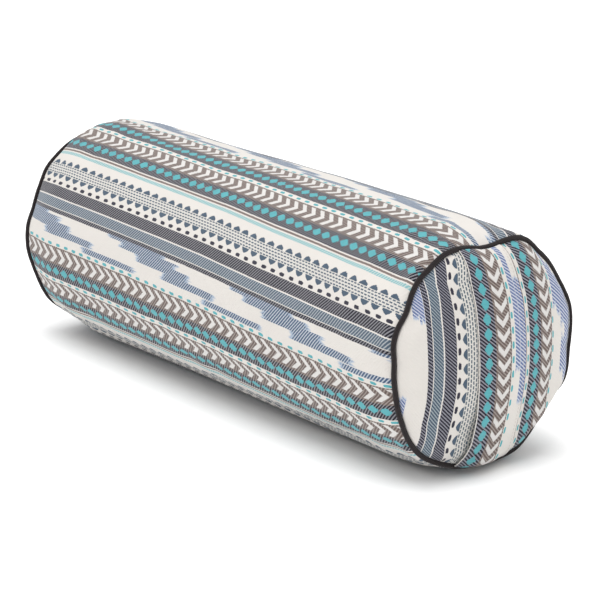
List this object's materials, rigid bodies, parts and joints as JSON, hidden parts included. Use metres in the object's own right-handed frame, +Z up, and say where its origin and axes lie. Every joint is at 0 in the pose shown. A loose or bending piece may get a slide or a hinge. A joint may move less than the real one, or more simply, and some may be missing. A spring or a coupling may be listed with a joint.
{
  "type": "bolster pillow",
  "caption": "Round bolster pillow for massage and yoga: a stuffed inner pillow in a striped jacquard cover with piped domed ends and a zip hidden under a flap.",
  "frame": {"origin": "middle of the pillow's bounding box on the surface it rests on", "axes": "+X along the roll towards the zipped end, +Z up, +Y across the roll"},
  "size_m": [0.65, 0.23, 0.2259],
  "materials": {
    "woven_jacquard": "matte",
    "thread": "satin",
    "zip_tape": "matte",
    "zip_coil": "satin",
    "zip_metal": "satin",
    "piping_cloth": "matte",
    "cotton_cord": "matte",
    "liner_cotton": "matte",
    "cotton_fill": "matte"
  },
  "bodies": {
    "pillow": {"cover_body_panel": "woven_jacquard", "cover_end_far": "woven_jacquard", "cover_end_near_left": "woven_jacquard", "cover_end_near_right": "woven_jacquard", "flap_topstitch": "thread", "zip_stitching": "thread", "zip_tape_left": "zip_tape", "zip_tape_right": "zip_tape", "zip_coil_left": "zip_coil", "zip_coil_right": "zip_coil", "zip_top_stops": "zip_metal", "zip_bottom_stop": "zip_metal", "piping_near_cover": "piping_cloth", "piping_near_cord": "cotton_cord", "piping_far_cover": "piping_cloth", "piping_far_cord": "cotton_cord", "liner_tube": "liner_cotton", "liner_end_near": "liner_cotton", "liner_end_far": "liner_cotton", "liner_closing_stitches": "thread", "filling_core": "cotton_fill", "filling_wrap": "cotton_fill"},
    "flap": {"zip_flap": "woven_jacquard"},
    "slider": {"zip_slider": "zip_metal"},
    "tab": {"zip_pull_tab": "zip_metal"}
  },
  "joints": [
    {"name": "flap_lift", "type": "hinge", "parent": "pillow", "child": "flap", "pos_m": [0.32179, 0.0265, 0.111], "axis": [0, 0, 1], "range_deg": [0, 35]},
    {"name": "zip_run", "type": "hinge", "parent": "pillow", "child": "slider", "pos_m": [-0.0094, 0, 0.111], "axis": [0, 1, 0], "range_deg": [0, 27]},
    {"name": "tab_swing", "type": "hinge", "parent": "slider", "child": "tab", "pos_m": [0.31261, 0, 0.18633], "axis": [0.972, 0, 0.2351], "range_deg": [-20, 20]}
  ]
}
